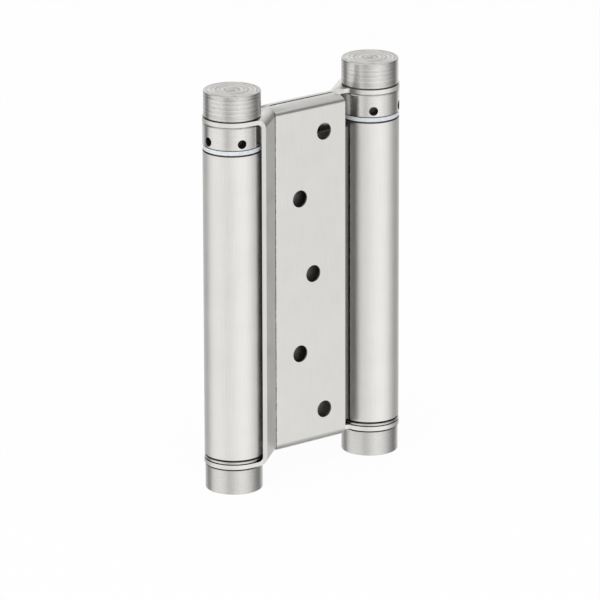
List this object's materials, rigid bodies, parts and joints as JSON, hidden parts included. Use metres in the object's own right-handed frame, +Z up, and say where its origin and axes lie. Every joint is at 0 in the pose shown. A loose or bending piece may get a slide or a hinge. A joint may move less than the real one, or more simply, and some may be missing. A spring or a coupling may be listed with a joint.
{
  "type": "double action cafe hinge",
  "caption": "Two-barrel spring hinge for a swinging cafe door: two pressed leaves joined by a rolled centre sheet.",
  "frame": {"origin": "on the ground plane under the middle of the closed hinge, which stands on its two bottom caps", "axes": "+Z up the barrels towards the tension collars; -X towards the barrel of the front leaf; -Y the face of the front leaf"},
  "size_m": [0.0866, 0.028, 0.15],
  "materials": {
    "satin_sheet": "satin brushed stainless sheet, fine grain along the height",
    "turned_cap": "turned stainless with faint lathe rings",
    "matt_cap": "tumbled matt stainless",
    "turned_collar": "turned stainless",
    "white_nylon": "white nylon",
    "foot_washer_steel": "blanked stainless",
    "ground_spindle": "ground bright steel",
    "plain_plug": "turned mild steel",
    "spring_wire": "oil tempered square spring wire"
  },
  "bodies": {
    "back_leaf": {"back_leaf": "satin_sheet", "right_top_cap": "turned_cap", "right_bottom_cap": "matt_cap", "right_spindle": "ground_spindle"},
    "centre": {"centre_plate": "satin_sheet", "left_spring": "spring_wire", "right_spring": "spring_wire", "left_bottom_plug": "plain_plug", "right_bottom_plug": "plain_plug", "left_collar_washer": "white_nylon", "right_collar_washer": "white_nylon", "left_foot_washer": "foot_washer_steel", "right_foot_washer": "foot_washer_steel"},
    "front_leaf": {"front_leaf": "satin_sheet", "left_top_cap": "turned_cap", "left_bottom_cap": "matt_cap", "left_spindle": "ground_spindle"},
    "left_collar": {"left_tension_collar": "turned_collar"},
    "right_collar": {"right_tension_collar": "turned_collar"}
  },
  "joints": [
    {"name": "centre_swing", "type": "hinge", "parent": "back_leaf", "child": "centre", "pos_m": [0.0325, 0.0016, 0.075], "axis": [0, 0, 1], "range_deg": [0, 110]},
    {"name": "front_leaf_swing", "type": "hinge", "parent": "centre", "child": "front_leaf", "pos_m": [-0.0325, -0.0016, 0.075], "axis": [0, 0, -1], "range_deg": [0, 110]},
    {"name": "left_collar_turn", "type": "hinge", "parent": "centre", "child": "left_collar", "pos_m": [-0.0325, -0.0016, 0.1344], "axis": [0, 0, 1], "range_deg": [0, 144], "stiffness_Nm_per_rad": 1.2, "deforming": ["left_spring"]},
    {"name": "right_collar_turn", "type": "hinge", "parent": "centre", "child": "right_collar", "pos_m": [0.0325, 0.0016, 0.1344], "axis": [0, 0, 1], "range_deg": [0, 144], "stiffness_Nm_per_rad": 1.2, "deforming": ["right_spring"]}
  ]
}
